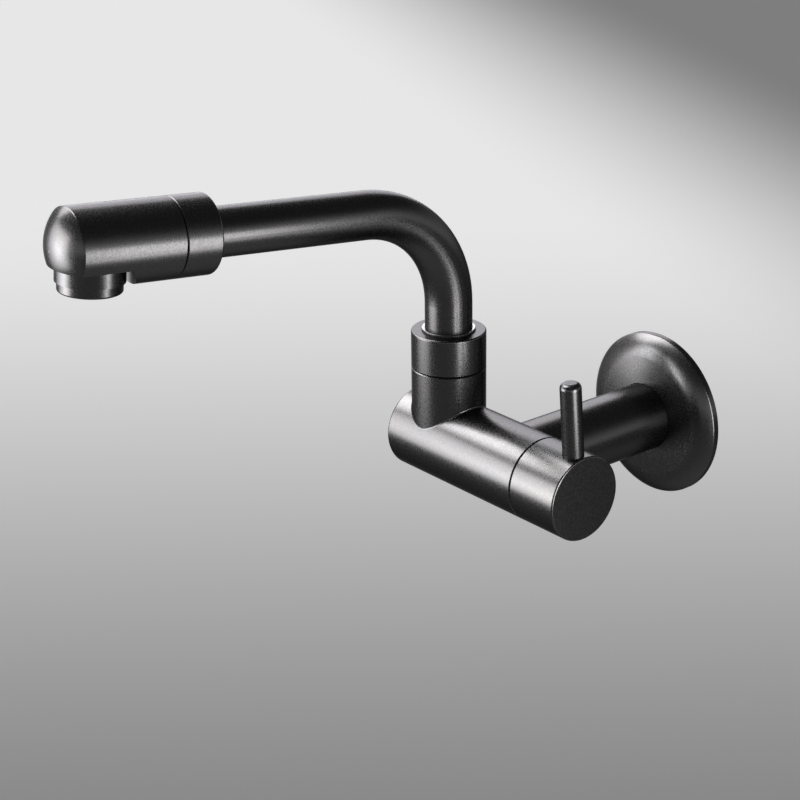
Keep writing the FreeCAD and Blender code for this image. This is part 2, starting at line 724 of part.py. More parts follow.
def make_nipple(label, seals_label, frame, plug_length):
    """Brass end of the spout tube. The tube enters it at the frame's origin, and its plug points to -Z."""
    body = new_body(label, frame)
    plug_end = f"-dim.shoulder_thick - {plug_length}"
    levels = [f"{plug_end} + dim.seal_first", f"{plug_end} + dim.seal_first + dim.seal_pitch"]
    corners = [
        ("dim.tube_radius", "0"),
        ("dim.tube_radius", "-dim.socket_depth"),
        ("dim.passage_radius", "-dim.socket_depth"),
        ("dim.passage_radius", plug_end),
        ("dim.plug_radius", plug_end),
    ]
    for level in levels:
        corners += [
            ("dim.plug_radius", f"{level} - dim.seal_half"),
            ("dim.seal_groove", f"{level} - dim.seal_half"),
            ("dim.seal_groove", f"{level} + dim.seal_half"),
            ("dim.plug_radius", f"{level} + dim.seal_half"),
        ]
    corners += [
        ("dim.plug_radius", "-dim.shoulder_thick"),
        ("dim.shoulder_radius", "-dim.shoulder_thick"),
        ("dim.shoulder_radius", "0"),
    ]
    turned(body, "XZ_Plane", "V_Axis", corners)
    seal_rings(seals_label, frame, "dim.seal_circle", "dim.seal_wire", levels)


def make_spout_tube():
    """Bent tube: up out of the collar, round the bend and out along the run, with its bore."""
    body = new_body("spout_tube", spout_frame())
    path = outline(new_sketch(body, "YZ_Plane"), [
        ("0", "dim.tube_start"),
        ("0", "dim.bend_start"),
        ("-dim.bend_reach", "dim.bend_top", "dim.bend_radius", "right"),
        ("-dim.bend_reach - dim.run_end * cos(dim.run_rise)",
         "dim.bend_top + dim.run_end * sin(dim.run_rise)"),
    ], closed=False)
    section = circles(new_sketch(body, "XY_Plane", "dim.tube_start"), "0", "0", "dim.tube_radius",
                      "dim.tube_bore")
    doc.recompute()
    pipe = body.newObject("PartDesign::AdditivePipe", "spout_tube_pipe")
    pipe.Profile = section
    pipe.Spine = (path, ["Edge1", "Edge2", "Edge3"])
    finish_step(pipe, False)


def make_spout_fittings():
    """What ends the tube in the collar and in the nozzle, and what those ends turn on."""
    lower = spout_frame().multiply(at("0", "0", "dim.stem_shoulder"))
    make_nipple("spout_nipple", "spout_o_rings", lower, "dim.stem_plug_length")
    make_washers("spout_washers", stem_axis_frame(), "dim.spigot_top",
                 "dim.collar_ceiling - dim.washer_thick")
    outer = run_frame().multiply(at("0", "-dim.nozzle_shoulder", "0", Z_TO_PLUS_Y))
    make_nipple("nozzle_nipple", "nozzle_o_rings", outer, "dim.nozzle_plug_length")
    make_washers("nozzle_washers", run_frame().multiply(at("0", "0", "0", Z_TO_MINUS_Y)),
                 "dim.nozzle_spigot_start - dim.washer_thick", "dim.ring_ceiling")


def make_nozzle_ring():
    """Nut behind the nozzle, screwed on its spigot, that holds it on the spout's end."""
    body = new_body("nozzle_ring", run_frame())
    turned(body, "XY_Plane", "V_Axis", [
        ("dim.tube_running_bore", "-dim.nozzle_start"),
        ("dim.tube_running_bore", "-dim.ring_ceiling"),
        ("dim.nut_bore", "-dim.ring_ceiling"),
        ("dim.nut_bore", "dim.collar_seam_gap - dim.nozzle_seam"),
        ("dim.nozzle_radius", "dim.collar_seam_gap - dim.nozzle_seam"),
        ("dim.nozzle_radius", "-dim.nozzle_start"),
    ])
    soften(body, "Fillet", "dim.nozzle_radius", ALONG_Y, "-dim.nozzle_start", "dim.collar_edge_round")
    soften(body, "Chamfer", "dim.nozzle_radius", ALONG_Y, "dim.collar_seam_gap - dim.nozzle_seam",
           "dim.seam_chamfer")


def make_nozzle_head():
    """Nozzle: a bar with a domed end, spot-faced underneath round the boss that takes the aerator."""
    body = new_body("nozzle_head", run_frame())
    turned(body, "XY_Plane", "V_Axis", [
        ("0", "-dim.nozzle_tip", "dim.nose_radius", "left"),
        ("0", "-dim.nozzle_spigot_start"),
        ("dim.fitting_spigot", "-dim.nozzle_spigot_start"),
        ("dim.fitting_spigot", "-dim.nozzle_seam"),
        ("dim.nozzle_radius", "-dim.nozzle_seam"),
        ("dim.nozzle_radius", "-dim.nozzle_crease"),
    ])
    soften(body, "Fillet", "dim.nozzle_radius", ALONG_Y, "-dim.nozzle_crease", "dim.dome_edge_round")
    soften(body, "Chamfer", "dim.nozzle_radius", ALONG_Y, "-dim.nozzle_seam", "dim.seam_chamfer")
    face = circles(new_sketch(body, "XY_Plane", "-dim.spotface_level"), "0",
                   "-dim.aerator_place - dim.spotface_lead", "dim.spotface_radius")
    bored(body, face, "dim.nozzle_radius")
    boss = circles(new_sketch(body, "XY_Plane", "-dim.boss_drop"), "0", "-dim.aerator_place",
                   "dim.boss_radius")
    raised(body, boss, "dim.boss_drop - dim.spotface_level / 2")
    turned(body, "XY_Plane", "V_Axis", [
        ("0", "-dim.nozzle_spigot_start"),
        ("0", "-dim.aerator_place"),
        ("dim.passage_radius", "-dim.aerator_place"),
        ("dim.passage_radius", "-dim.nozzle_socket_end"),
        ("dim.stem_bore", "-dim.nozzle_socket_end"),
        ("dim.stem_bore", "-dim.nozzle_spigot_start"),
    ], cuts=True)
    for radius, depth in (
        ("dim.aerator_thread", "dim.boss_drop - dim.aerator_seat"),
        ("dim.aerator_chamber", "dim.boss_drop + dim.aerator_ceiling"),
    ):
        hole = circles(new_sketch(body, "XY_Plane", "-dim.boss_drop"), "0", "-dim.aerator_place", radius)
        bored(body, hole, depth, "up")


def make_aerator_housing():
    """Aerator shell: a ring under the boss, with a thread inside it and a lip that holds the screen."""
    body = new_body("aerator_housing", aerator_frame())
    turned(body, "XZ_Plane", "V_Axis", [
        ("dim.aerator_bore", "-dim.aerator_top"),
        ("dim.aerator_bore", "-dim.screen_level"),
        ("dim.aerator_mouth", "-dim.screen_level"),
        ("dim.aerator_mouth", "-dim.aerator_drop"),
        ("dim.aerator_radius", "-dim.aerator_drop"),
        ("dim.aerator_radius", "-dim.boss_drop - dim.trim_gap"),
        ("dim.aerator_thread - dim.trim_gap", "-dim.boss_drop - dim.trim_gap"),
        ("dim.aerator_thread - dim.trim_gap", "-dim.aerator_top"),
    ])
    soften(body, "Fillet", "dim.aerator_radius", ALONG_Z, "-dim.aerator_drop", "dim.aerator_edge_round")
    single_ring("aerator_gasket", aerator_frame(), "dim.aerator_bore", "dim.aerator_thread - dim.trim_gap",
                "-dim.aerator_top", "dim.seat_gasket_thick")


def drilled_disc(label, bottom, thick, pitch, hole):
    """Disc in the aerator's bore, drilled on a hexagonal grid, with its underside at a level."""
    radius = worth("dim.aerator_bore - dim.trim_gap")
    open_radius = worth("dim.aerator_mouth") - worth(hole)
    height = worth(thick)
    step = worth(pitch)
    rows = int(open_radius / step) + 1
    drills = []
    for row in range(-rows, rows + 1):
        for column in range(-2 * rows, 2 * rows + 1):
            place = FreeCAD.Vector((column + row / 2) * step, row * step * math.sqrt(3) / 2, 0)
            if place.Length <= open_radius:
                drills.append(Part.makeCylinder(worth(hole), height, place))
    disc = doc.addObject("Part::Feature", label)
    disc.Label = label
    disc.Shape = Part.makeCylinder(radius, height).cut(Part.makeCompound(drills))
    disc.Placement = aerator_frame().multiply(at("0", "0", bottom))
    pieces.append(disc)


def make_aerator_insides():
    """Wire screen on the housing's lip, and the moulded jet insert that stands on it."""
    drilled_disc("aerator_screen", "-dim.screen_level", "dim.screen_thick", "dim.screen_pitch",
                 "dim.screen_hole")
    drilled_disc("aerator_insert", "-dim.insert_level", "dim.insert_length", "dim.jet_pitch",
                 "dim.jet_radius")


def make_handle_knob():
    """Handle: a cup that covers the cartridge's nut, solid at its end, with a D socket for the spindle."""
    body = new_body("handle_knob", handle_frame())
    turned(body, "XY_Plane", "H_Axis", [
        ("dim.hub_start", "0"),
        ("dim.handle_end", "0"),
        ("dim.handle_end", "dim.bar_radius"),
        ("dim.handle_start", "dim.bar_radius"),
        ("dim.handle_start", "dim.handle_bore"),
        ("dim.cup_end", "dim.handle_bore"),
        ("dim.cup_end", "dim.handle_hub"),
        ("dim.hub_start", "dim.handle_hub"),
    ])
    soften(body, "Fillet", "dim.bar_radius", ALONG_X, "dim.handle_end", "dim.handle_edge_round")
    soften(body, "Chamfer", "dim.bar_radius", ALONG_X, "dim.handle_start", "dim.seam_chamfer")
    half_flat = "sqrt(dim.socket_radius^2 - dim.socket_flat^2)"
    socket = outline(new_sketch(body, "YZ_Plane", "dim.hub_start"), [
        (f"-{half_flat}", "-dim.socket_flat", "dim.socket_radius", "right"),
        (half_flat, "-dim.socket_flat"),
        ("dim.socket_radius", "0", "dim.socket_radius", "right"),
        ("0", "dim.socket_radius", "dim.socket_radius", "right"),
        ("-dim.socket_radius", "0", "dim.socket_radius", "right"),
    ])
    bored(body, socket, "dim.spindle_end - dim.hub_start + dim.spindle_end_gap", "up")
    seat = circles(new_sketch(body, "XY_Plane", "dim.lever_seat"), "dim.lever_offset", "0",
                   "dim.lever_radius + dim.trim_gap")
    bored(body, seat, "dim.bar_radius", "up")
    stud = circles(new_sketch(body, "XY_Plane", "dim.bar_radius"), "dim.lever_offset", "0",
                   "dim.lever_stud_radius + dim.trim_gap")
    bored(body, stud, "dim.bar_radius - dim.lever_seat + dim.lever_stud_length + dim.lever_hole_spare")
    grub = circles(new_sketch(body, "XY_Plane", "-dim.bar_radius"), "dim.grub_offset", "0",
                   "dim.grub_radius + dim.trim_gap")
    bored(body, grub, "dim.bar_radius", "up")


def make_lever_pin():
    """Round lever with a rounded end, screwed into the top of the handle by its stud."""
    body = new_body("lever_pin", handle_frame().multiply(at("dim.lever_offset", "0", "0")))
    turned(body, "XZ_Plane", "V_Axis", [
        ("0", "dim.lever_seat - dim.lever_stud_length"),
        ("dim.lever_stud_radius", "dim.lever_seat - dim.lever_stud_length"),
        ("dim.lever_stud_radius", "dim.lever_seat"),
        ("dim.lever_radius", "dim.lever_seat"),
        ("dim.lever_radius", "dim.lever_top"),
        ("0", "dim.lever_top"),
    ])
    soften(body, "Fillet", "dim.lever_radius", ALONG_Z, "dim.lever_top", "dim.lever_round")


def make_grub_screw():
    """Socket set screw under the handle, which clamps it on the spindle's flat."""
    body = new_body("handle_grub_screw", handle_frame().multiply(at("dim.grub_offset", "0", "0")))
    turned(body, "XZ_Plane", "V_Axis", [
        ("0", "-dim.grub_tip"),
        ("0", "-dim.grub_tail"),
        ("dim.grub_radius", "-dim.grub_tail"),
        ("dim.grub_radius", "-dim.grub_tip - dim.grub_point"),
        ("dim.grub_radius - dim.grub_point", "-dim.grub_tip"),
    ])
    key = hexagon(new_sketch(body, "XY_Plane", "-dim.grub_tail"), "dim.grub_key")
    bored(body, key, "dim.grub_key_depth", "up")


def make_cartridge_housing():
    """Brass shell of the cartridge, with side windows for the inlet and a neck round the spindle."""
    body = new_body("cartridge_housing", bar_frame())
    seal_half = "(dim.housing_seal_wire + dim.groove_room)"
    turned(body, "XY_Plane", "H_Axis", [
        ("dim.housing_nose - dim.seat_offset", "dim.housing_bore"),
        ("dim.housing_room", "dim.housing_bore"),
        ("dim.housing_room", "dim.neck_bore"),
        ("dim.neck_end", "dim.neck_bore"),
        ("dim.neck_end", "dim.neck_radius"),
        ("dim.nut_seat_offset", "dim.neck_radius"),
        ("dim.nut_seat_offset", "dim.housing_radius"),
        (f"dim.housing_seal_level + {seal_half}", "dim.housing_radius"),
        (f"dim.housing_seal_level + {seal_half}", "dim.housing_seal_groove"),
        (f"dim.housing_seal_level - {seal_half}", "dim.housing_seal_groove"),
        (f"dim.housing_seal_level - {seal_half}", "dim.housing_radius"),
        ("dim.housing_nose - dim.seat_offset", "dim.housing_radius"),
    ])
    window = rectangle(new_sketch(body, "XZ_Plane"), "dim.foot_start", "dim.foot_start + dim.window_width",
                       "-dim.window_height / 2", "dim.window_height / 2")
    bored(body, window, "dim.housing_radius", "through")
    seal_rings("housing_o_ring", bar_frame().multiply(at("0", "0", "0", Z_TO_X)),
               "dim.housing_seal_circle", "dim.housing_seal_wire", ["dim.housing_seal_level"])


def make_disc(label, frame, start, radius, ports_at):
    """Ceramic disc of the cartridge with two sector ports."""
    body = new_body(label, frame)
    turned(body, "XY_Plane", "H_Axis", [
        (start, "0"),
        (f"{start} + dim.disc_thick", "0"),
        (f"{start} + dim.disc_thick", radius),
        (start, radius),
    ])
    ports = new_sketch(body, "YZ_Plane", start)
    for middle in ports_at:
        sector(ports, "dim.port_inner", "dim.port_outer", middle, "dim.port_angle")
    bored(body, ports, "dim.disc_thick", "up")


def make_discs():
    """Fixed disc with ports above and below the axis, turning disc with ports before and behind: closed."""
    make_disc("fixed_ceramic_disc", bar_frame(), "dim.disc_start", "dim.housing_bore - dim.trim_gap",
              ("90", "270"))
    make_disc("turning_ceramic_disc", handle_frame(), "dim.turning_start", "dim.foot_radius", ("0", "180"))
    single_ring("seat_seal", bar_frame().multiply(at("0", "0", "0", Z_TO_X)), "dim.seat_seal_inner",
                "dim.housing_bore - dim.trim_gap", "-dim.seat_offset", "dim.seat_seal_thick")


def make_spindle():
    """Spindle that turns the disc: its foot has a channel for each port, its head a flat for the handle."""
    body = new_body("cartridge_spindle", handle_frame())
    levels = ["dim.spindle_seal_first", "dim.spindle_seal_first + dim.spindle_seal_pitch"]
    half = "(dim.spindle_seal_wire + dim.groove_room)"
    corners = [
        ("dim.foot_start", "0"),
        ("dim.foot_start", "dim.foot_radius"),
        ("dim.foot_end", "dim.foot_radius"),
        ("dim.foot_end", "dim.spindle_radius"),
    ]
    for level in levels:
        corners += [
            (f"{level} - {half}", "dim.spindle_radius"),
            (f"{level} - {half}", "dim.spindle_seal_groove"),
            (f"{level} + {half}", "dim.spindle_seal_groove"),
            (f"{level} + {half}", "dim.spindle_radius"),
        ]
    corners += [
        ("dim.clip_start", "dim.spindle_radius"),
        ("dim.clip_start", "dim.clip_root"),
        ("dim.clip_start + dim.clip_thick", "dim.clip_root"),
        ("dim.clip_start + dim.clip_thick", "dim.spindle_radius"),
        ("dim.spindle_step", "dim.spindle_radius"),
        ("dim.spindle_step", "dim.spindle_head_radius"),
        ("dim.spindle_end", "dim.spindle_head_radius"),
        ("dim.spindle_end", "0"),
    ]
    turned(body, "XY_Plane", "H_Axis", corners)
    channels = new_sketch(body, "YZ_Plane", "dim.foot_start")
    for middle in ("0", "180"):
        sector(channels, "dim.port_inner", "dim.housing_bore", middle, "dim.port_angle")
    bored(body, channels, "dim.foot_channel", "up")
    flat = rectangle(new_sketch(body, "XY_Plane", "-dim.spindle_flat"), "dim.spindle_step",
                     "dim.spindle_end", "-dim.spindle_head_radius", "dim.spindle_head_radius")
    bored(body, flat, "dim.spindle_head_radius")
    seal_rings("spindle_o_rings", handle_frame().multiply(at("0", "0", "0", Z_TO_X)),
               "dim.spindle_seal_circle", "dim.spindle_seal_wire", levels)


def make_spindle_clip():
    """Open steel ring in the spindle's groove, which keeps the spindle in the housing."""
    body = new_body("spindle_clip", handle_frame())
    turned(body, "XY_Plane", "H_Axis", [
        ("dim.clip_start + dim.trim_gap", "dim.clip_root + dim.trim_gap"),
        ("dim.clip_start + dim.clip_thick - dim.trim_gap", "dim.clip_root + dim.trim_gap"),
        ("dim.clip_start + dim.clip_thick - dim.trim_gap", "dim.clip_radius"),
        ("dim.clip_start + dim.trim_gap", "dim.clip_radius"),
    ])
    mouth = rectangle(new_sketch(body, "YZ_Plane", "dim.clip_start"), "-dim.clip_mouth / 2",
                      "dim.clip_mouth / 2", "0", "2 * dim.clip_radius")
    bored(body, mouth, "dim.clip_thick", "up")


def make_cartridge_nut():
    """Ring nut that holds the cartridge in the barrel, slotted for its key, and the handle's guide."""
    body = new_body("cartridge_nut", bar_frame())
    turned(body, "XY_Plane", "H_Axis", [
        ("dim.nut_seat_offset + dim.trim_gap", "dim.neck_radius + dim.nut_bore_gap"),
        ("dim.nut_end", "dim.neck_radius + dim.nut_bore_gap"),
        ("dim.nut_end", "dim.guide_inner - dim.trim_gap"),
        ("dim.seam_offset", "dim.guide_inner - dim.trim_gap"),
        ("dim.seam_offset", "dim.mouth_radius - dim.trim_gap"),
        ("dim.nut_seat_offset + dim.trim_gap", "dim.mouth_radius - dim.trim_gap"),
    ])
    half_key = "dim.nut_key_width / 2"
    for wide, tall in (("dim.bar_radius", half_key), (half_key, "dim.bar_radius")):
        slot = rectangle(new_sketch(body, "YZ_Plane", "dim.nut_end"), f"-{wide}", wide, f"-{tall}", tall)
        bored(body, slot, "dim.nut_key_depth")
    single_ring("handle_guide_ring", bar_frame().multiply(at("0", "0", "0", Z_TO_X)), "dim.guide_inner",
                "dim.guide_outer", "dim.handle_start", "dim.guide_length")


def check_document():
    """Stop on any object that failed, and on any sub-part without a valid shape."""
    for item in doc.Objects:
        if "Invalid" in item.State or "Error" in item.State:
            raise ValueError(f"{item.Label} failed to recompute")
    for piece in pieces:
        if piece.Shape.isNull() or not piece.Shape.isValid() or not piece.Shape.Solids:
            raise ValueError(f"{piece.Label} has no valid solid")


def write_parts():
    os.makedirs("parts", exist_ok=True)
    for piece in pieces:
        piece.Shape.exportStep(f"parts/{piece.Label}.step")
        print(f"{piece.Label}: {len(piece.Shape.Solids)} solid(s), {piece.Shape.Volume:.1f} mm3")


fill_sheet()
make_wall_flange()
make_flange_seals()
make_inlet_pipe()
make_valve_body()
make_cartridge_housing()
make_discs()
make_spindle()
make_spindle_clip()
make_cartridge_nut()
make_handle_knob()
make_lever_pin()
make_grub_screw()
make_collar()
make_spout_tube()
make_spout_fittings()
make_nozzle_ring()
make_nozzle_head()
make_aerator_housing()
make_aerator_insides()
doc.recompute()
check_document()
write_parts()
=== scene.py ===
import json
import math

import bmesh
import bpy
from mathutils import Matrix, Vector


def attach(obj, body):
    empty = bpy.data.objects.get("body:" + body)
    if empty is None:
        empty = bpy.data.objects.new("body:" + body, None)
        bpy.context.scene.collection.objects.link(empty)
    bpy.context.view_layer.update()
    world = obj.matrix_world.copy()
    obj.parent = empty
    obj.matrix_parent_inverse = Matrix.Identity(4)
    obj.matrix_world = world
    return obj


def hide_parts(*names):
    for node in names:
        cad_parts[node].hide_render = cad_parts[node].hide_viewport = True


# Kitchen tap that screws into a wall, in metres: its flange sits on the plane y = 0, -Y points into the
# room and +Z up.
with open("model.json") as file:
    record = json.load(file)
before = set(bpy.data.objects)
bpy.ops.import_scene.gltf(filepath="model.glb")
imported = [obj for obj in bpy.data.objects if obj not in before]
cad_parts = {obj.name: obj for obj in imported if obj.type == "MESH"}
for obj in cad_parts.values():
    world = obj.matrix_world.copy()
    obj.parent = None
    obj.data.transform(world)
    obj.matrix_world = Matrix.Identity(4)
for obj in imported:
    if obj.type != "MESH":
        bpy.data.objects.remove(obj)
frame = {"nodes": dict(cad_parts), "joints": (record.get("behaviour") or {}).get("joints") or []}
cad_nodes = frame["nodes"]
joints = {joint["name"]: joint for joint in frame["joints"]}
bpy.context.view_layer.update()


# Wall flange: a domed cover plate, pressed from brass sheet and slid along the pipe against the wall. Like
# all the outer pieces it is brushed very finely, and then gets a thin, hard, gun-grey film in a vacuum. The
# brushing makes each lamp a soft band with a fine grain, where a mirror would show its sharp edge.
MM = 0.001
GUNMETAL = "#525254"
GUNMETAL_WARM = "#565453"
GUNMETAL_EDGE = "#aaaaac"
GUNMETAL_ROUGHNESS = (0.25, 0.31)
FILM_CLOUD = 16 * MM
# The real grain and brush marks are under a tenth of a millimetre wide; they are drawn coarser, to show.
# A span is the part of a noise's range that goes from one end of the roughness to the other.
SATIN_GRAIN = 0.7 * MM
SATIN_GRAIN_SPAN = (0.35, 0.65)
SATIN_GRAIN_DEPTH = 0.0006 * MM
BRUSH_MARK = (7 * MM, 7 * MM, 0.22 * MM)
BRUSH_MARK_DEPTH = 0.0007 * MM
ABOUT_X = (0, math.pi / 2, 0)
ABOUT_Y = (-math.pi / 2, 0, 0)
ABOUT_Z = (0, 0, 0)


def linear(hex_colour):
    """An sRGB hex colour as linear red, green, blue and alpha."""
    parts = [int(hex_colour[at:at + 2], 16) / 255 for at in (1, 3, 5)]
    return [part / 12.92 if part <= 0.04045 else ((part + 0.055) / 1.055) ** 2.4 for part in parts] + [1]


def add(tree, kind, settings, links=None):
    """Add a node with its properties and socket values, and link its sockets to nodes or their sockets.

    A socket goes by its name, or by its number where the node repeats the name.
    """
    node = tree.nodes.new(kind)
    for name, value in settings.items():
        if hasattr(node, name):
            setattr(node, name, value)
    sockets = dict(enumerate(node.inputs))
    sockets.update((socket.name, socket) for socket in node.inputs if socket.enabled)
    for name in settings.keys() & sockets.keys():
        sockets[name].default_value = settings[name]
    for name, source in (links or {}).items():
        if isinstance(source, bpy.types.Node):
            source = next(socket for socket in source.outputs if socket.enabled)
        tree.links.new(source, sockets[name])
    return node


def bare_material(name):
    """A material with no nodes yet, and its node tree."""
    material = bpy.data.materials.new(name)
    material.use_nodes = True
    material.node_tree.nodes.clear()
    return material, material.node_tree


def satin_gunmetal(name, turn):
    """Gun-grey film on finely brushed brass; turn brings Z to the axis that the brushing runs round."""
    material, tree = bare_material(name)
    place = add(tree, "ShaderNodeTexCoord", {}).outputs["Object"]
    cloud = add(tree, "ShaderNodeTexNoise", {"Scale": 1 / FILM_CLOUD, "Detail": 3}, {"Vector": place})
    grain = add(tree, "ShaderNodeTexNoise", {"Scale": 1 / SATIN_GRAIN, "Detail": 2}, {"Vector": place})
    along = add(tree, "ShaderNodeMapping", {"vector_type": "TEXTURE", "Rotation": turn, "Scale": BRUSH_MARK},
                {"Vector": place})
    marks = add(tree, "ShaderNodeTexNoise", {"Scale": 1, "Detail": 2}, {"Vector": along})
    colour = add(tree, "ShaderNodeMix",
                 {"data_type": "RGBA", "A": linear(GUNMETAL), "B": linear(GUNMETAL_WARM)}, {"Factor": cloud})
    rough = add(tree, "ShaderNodeMapRange",
                {"From Min": SATIN_GRAIN_SPAN[0], "From Max": SATIN_GRAIN_SPAN[1],
                 "To Min": GUNMETAL_ROUGHNESS[0], "To Max": GUNMETAL_ROUGHNESS[1]}, {"Value": grain})
    grain_bump = add(tree, "ShaderNodeBump", {"Strength": 1, "Distance": SATIN_GRAIN_DEPTH},
                     {"Height": grain})
    bump = add(tree, "ShaderNodeBump", {"Strength": 1, "Distance": BRUSH_MARK_DEPTH},
               {"Height": marks, "Normal": grain_bump})
    metal = add(tree, "ShaderNodeBsdfPrincipled", {"Metallic": 1, "Specular Tint": linear(GUNMETAL_EDGE)},
                {"Base Color": colour, "Roughness": rough, "Normal": bump})
    add(tree, "ShaderNodeOutputMaterial", {}, {"Surface": metal})
    return material


def dress(material, *names):
    """Give CAD nodes their finish."""
    for name in names:
        for slot in cad_nodes[name].material_slots:
            slot.material = material


gunmetal_about_y = satin_gunmetal("satin_gunmetal_film_on_brass_about_y", ABOUT_Y)
dress(gunmetal_about_y, "wall_flange")


# Flange seals: a ring of closed-cell EPDM foam inside the rim seals against the tiles, and a moulded EPDM
# ring in the hub grips the pipe. The foam is dull and pitted with fine cells, the ring is smooth and matt.
FINISH_GRAIN_SPAN = (0.3, 0.7)


def even_finish(name, colours, patch, roughness, grain, grain_depth, **shader):
    """A finish without direction: two close colours in patches, and a grain in gloss and height."""
    material, tree = bare_material(name)
    place = add(tree, "ShaderNodeTexCoord", {}).outputs["Object"]
    patches = add(tree, "ShaderNodeTexNoise", {"Scale": 1 / patch, "Detail": 3}, {"Vector": place})
    fine = add(tree, "ShaderNodeTexNoise", {"Scale": 1 / grain, "Detail": 3}, {"Vector": place})
    colour = add(tree, "ShaderNodeMix",
                 {"data_type": "RGBA", "A": linear(colours[0]), "B": linear(colours[1])}, {"Factor": patches})
    rough = add(tree, "ShaderNodeMapRange",
                {"From Min": FINISH_GRAIN_SPAN[0], "From Max": FINISH_GRAIN_SPAN[1],
                 "To Min": roughness[0], "To Max": roughness[1]}, {"Value": fine})
    bump = add(tree, "ShaderNodeBump", {"Strength": 1, "Distance": grain_depth}, {"Height": fine})
    surface = add(tree, "ShaderNodeBsdfPrincipled", shader,
                  {"Base Color": colour, "Roughness": rough, "Normal": bump})
    add(tree, "ShaderNodeOutputMaterial", {}, {"Surface": surface})
    return material


foam = even_finish("closed_cell_epdm_foam", ("#1d1d1e", "#2c2c2c"), 1.2 * MM, (0.85, 0.98), 0.35 * MM,
                   0.12 * MM)
rubber = even_finish("moulded_epdm_rubber", ("#151515", "#1e1e1f"), 6 * MM, (0.5, 0.68), 0.3 * MM, 0.01 * MM)
dress(foam, "flange_gasket")
dress(rubber, "flange_grip_ring")


# Inlet pipe: brass bar, turned and bored. Behind the wall it has a 1/2 inch pipe thread of 14 threads to the
# inch, cut with a die, and a hexagon socket in its mouth for the fitting key. Its other end is milled to the
# barrel's curve, with a spigot that is brazed into the barrel. The thread is a real one here.
PIPE_RADIUS = 11.7 * MM
PIPE_BORE = 5.6 * MM
PIPE_SHOULDER = -1.5 * MM
PIPE_END = 12.5 * MM
PIPE_CHAMFER = 1 * MM
PIPE_SIDES = 96
KEY_FLATS = 12.4 * MM
KEY_DEPTH = 9 * MM
THREAD_RADIUS = 10.48 * MM
THREAD_PITCH = 25.4 / 14 * MM
THREAD_DEPTH = 1.16 * MM
THREAD_FLAT = 0.14  # share of the pitch that is flat at the crest, and as much again at the root
THREAD_RINGS = 96
WALL_TO_BAR = 69.9 * MM
BAR_RADIUS = 14.3 * MM
SPIGOT_RADIUS = 7.95 * MM
SPIGOT_END = -59.3 * MM
SAME_SIZE = 1e-4
SAME_PLACE = 0.001 * MM
SHARP_EDGE = math.radians(32)


def thread_radius(height, turn):
    """Radius of the die-cut thread at a height along the pipe and an angle round it."""
    phase = (height / THREAD_PITCH + turn / math.tau) % 1
    tooth = 1 - abs(2 * phase - 1)
    tooth = min(max((tooth - THREAD_FLAT) / (1 - 2 * THREAD_FLAT), 0), 1)
    run_out = min(max((height - PIPE_SHOULDER) / THREAD_PITCH, 0), 1)
    cut = THREAD_RADIUS - THREAD_DEPTH * (1 - tooth * run_out)
    chamfer = THREAD_RADIUS - PIPE_CHAMFER + PIPE_END - height
    return min(cut, chamfer)


def make_piece(name, bm, material, body):
    """Turn a bmesh into a shaded piece that rides on a body, with its place in its mesh."""
    bmesh.ops.remove_doubles(bm, verts=bm.verts, dist=SAME_PLACE)
    bmesh.ops.recalc_face_normals(bm, faces=bm.faces)
    for face in bm.faces:
        face.smooth = True
    for edge in bm.edges:
        edge.smooth = edge.calc_face_angle(0) < SHARP_EDGE
    mesh = bpy.data.meshes.new(name)
    bm.to_mesh(mesh)
    bm.free()
    mesh.materials.append(material)
    piece = bpy.data.objects.new(name, mesh)
    bpy.context.scene.collection.objects.link(piece)
    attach(piece, body)
    return piece


# The outline goes up the bore and the key's socket, back along the thread and the pipe, and round the spigot.
key_corner = KEY_FLATS / 2 / math.cos(math.pi / 6)
saddle = BAR_RADIUS - WALL_TO_BAR
pipe_outline = [(PIPE_BORE, SPIGOT_END), (PIPE_BORE, PIPE_END - KEY_DEPTH),
                (key_corner, PIPE_END - KEY_DEPTH), (key_corner, PIPE_END)]
pipe_outline += [(THREAD_RADIUS, PIPE_END + (PIPE_SHOULDER - PIPE_END) * ring / THREAD_RINGS)
                 for ring in range(THREAD_RINGS + 1)]
pipe_outline += [(PIPE_RADIUS, PIPE_SHOULDER), (PIPE_RADIUS, saddle), (SPIGOT_RADIUS, saddle),
                 (SPIGOT_RADIUS, SPIGOT_END)]
pipe = bmesh.new()
corners = [pipe.verts.new((radius, height, 0)) for radius, height in pipe_outline]
lines = [pipe.edges.new((corners[at - 1], corners[at])) for at in range(len(corners))]
bmesh.ops.spin(pipe, geom=corners + lines, cent=(0, 0, 0), axis=(0, 1, 0), angle=math.tau, steps=PIPE_SIDES,
               use_merge=True)
for vert in pipe.verts:
    radius = math.hypot(vert.co.x, vert.co.z)
    turn = math.atan2(vert.co.z, vert.co.x)
    wanted = radius
    if math.isclose(radius, key_corner, rel_tol=SAME_SIZE):
        wanted = KEY_FLATS / 2 / math.cos(turn % (math.pi / 3) - math.pi / 6)
    elif math.isclose(radius, THREAD_RADIUS, rel_tol=SAME_SIZE):
        wanted = thread_radius(vert.co.y, turn)
    elif math.isclose(vert.co.y, saddle, rel_tol=SAME_SIZE):
        vert.co.y = math.sqrt(BAR_RADIUS ** 2 - vert.co.z ** 2) - WALL_TO_BAR
    vert.co.x *= wanted / radius
    vert.co.z *= wanted / radius
inlet_pipe = make_piece("inlet_pipe_with_cut_thread", pipe, gunmetal_about_y, "tap_body")
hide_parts("inlet_pipe")


# Valve body: a barrel turned from brass bar and bored for the cartridge, with the stem that carries the spout
# brazed on top of it. The barrel is brushed on the lathe, round its own axis.
gunmetal_about_x = satin_gunmetal("satin_gunmetal_film_on_brass_about_x", ABOUT_X)
dress(gunmetal_about_x, "valve_body")


